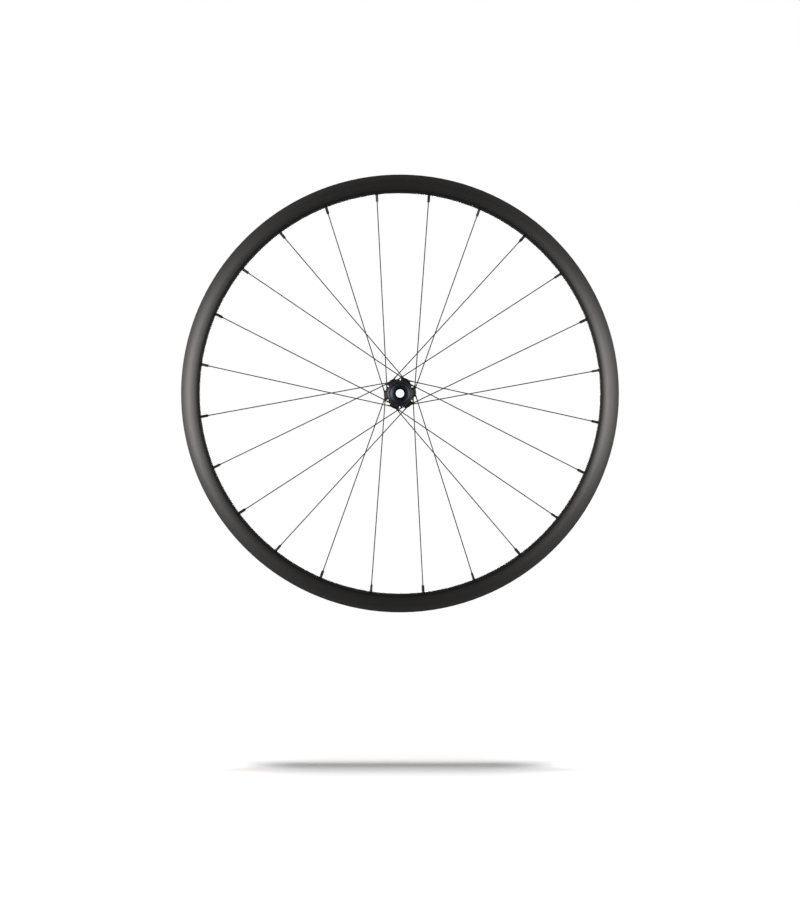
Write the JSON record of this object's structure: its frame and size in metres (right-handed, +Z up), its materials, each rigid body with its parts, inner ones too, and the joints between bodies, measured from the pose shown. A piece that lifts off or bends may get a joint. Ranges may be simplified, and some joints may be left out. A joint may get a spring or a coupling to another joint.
{
  "type": "bicycle wheel",
  "caption": "Spoked front bicycle wheel with a hollow carbon rim, straight-pull crossed spokes and a sealed-bearing hub for a through axle and disc brake.",
  "frame": {"origin": "centre of the wheel, on the axle and midway between the two end faces of the hub", "axes": "+Y along the axle from the right end of the hub to the brake side at the left, +Z up, +X towards the rear of the bicycle; the valve hole is at the top"},
  "size_m": [0.634, 0.1, 0.634],
  "materials": {
    "rim": "satin carbon, bare of lettering",
    "spoke": "black",
    "nipple": "black anodised",
    "hub_shell": "black anodised",
    "end_cap": "dark polished anodised",
    "axle": "plain turned",
    "race": "ground",
    "ball": "polished",
    "cage": "moulded",
    "seal": "matte"
  },
  "bodies": {
    "axle": {"axle": "axle", "end_cap_right": "end_cap", "end_cap_left": "end_cap", "o_ring_right": "seal", "o_ring_left": "seal", "inner_race_right": "race", "inner_race_left": "race"},
    "wheel": {"rim": "rim", "spoke_01": "spoke", "spoke_02": "spoke", "spoke_03": "spoke", "spoke_04": "spoke", "spoke_05": "spoke", "spoke_06": "spoke", "spoke_07": "spoke", "spoke_08": "spoke", "spoke_09": "spoke", "spoke_10": "spoke", "spoke_11": "spoke", "spoke_12": "spoke", "spoke_13": "spoke", "spoke_14": "spoke", "spoke_15": "spoke", "spoke_16": "spoke", "spoke_17": "spoke", "spoke_18": "spoke", "spoke_19": "spoke", "spoke_20": "spoke", "spoke_21": "spoke", "spoke_22": "spoke", "spoke_23": "spoke", "spoke_24": "spoke", "nipples": "nipple", "hub_shell": "hub_shell", "outer_race_right": "race", "outer_race_left": "race", "outer_seal_right": "seal", "inner_seal_right": "seal", "outer_seal_left": "seal", "inner_seal_left": "seal"},
    "balls_right": {"bearing_balls_right": "ball", "ball_cage_right": "cage"},
    "balls_left": {"bearing_balls_left": "ball", "ball_cage_left": "cage"}
  },
  "joints": [
    {"name": "wheel_spin", "type": "hinge", "parent": "axle", "child": "wheel", "pos_m": [0, 0, 0], "axis": [0, 1, 0], "continuous": true},
    {"name": "balls_right_roll", "type": "hinge", "parent": "axle", "child": "balls_right", "pos_m": [0, -0.0387, 0], "axis": [0, 1, 0], "continuous": true},
    {"name": "balls_left_roll", "type": "hinge", "parent": "axle", "child": "balls_left", "pos_m": [0, 0.0345, 0], "axis": [0, 1, 0], "continuous": true}
  ],
  "couplings": [
    {"joint": "balls_right_roll", "follows": "wheel_spin", "ratio": 0.58139},
    {"joint": "balls_left_roll", "follows": "wheel_spin", "ratio": 0.58139}
  ]
}
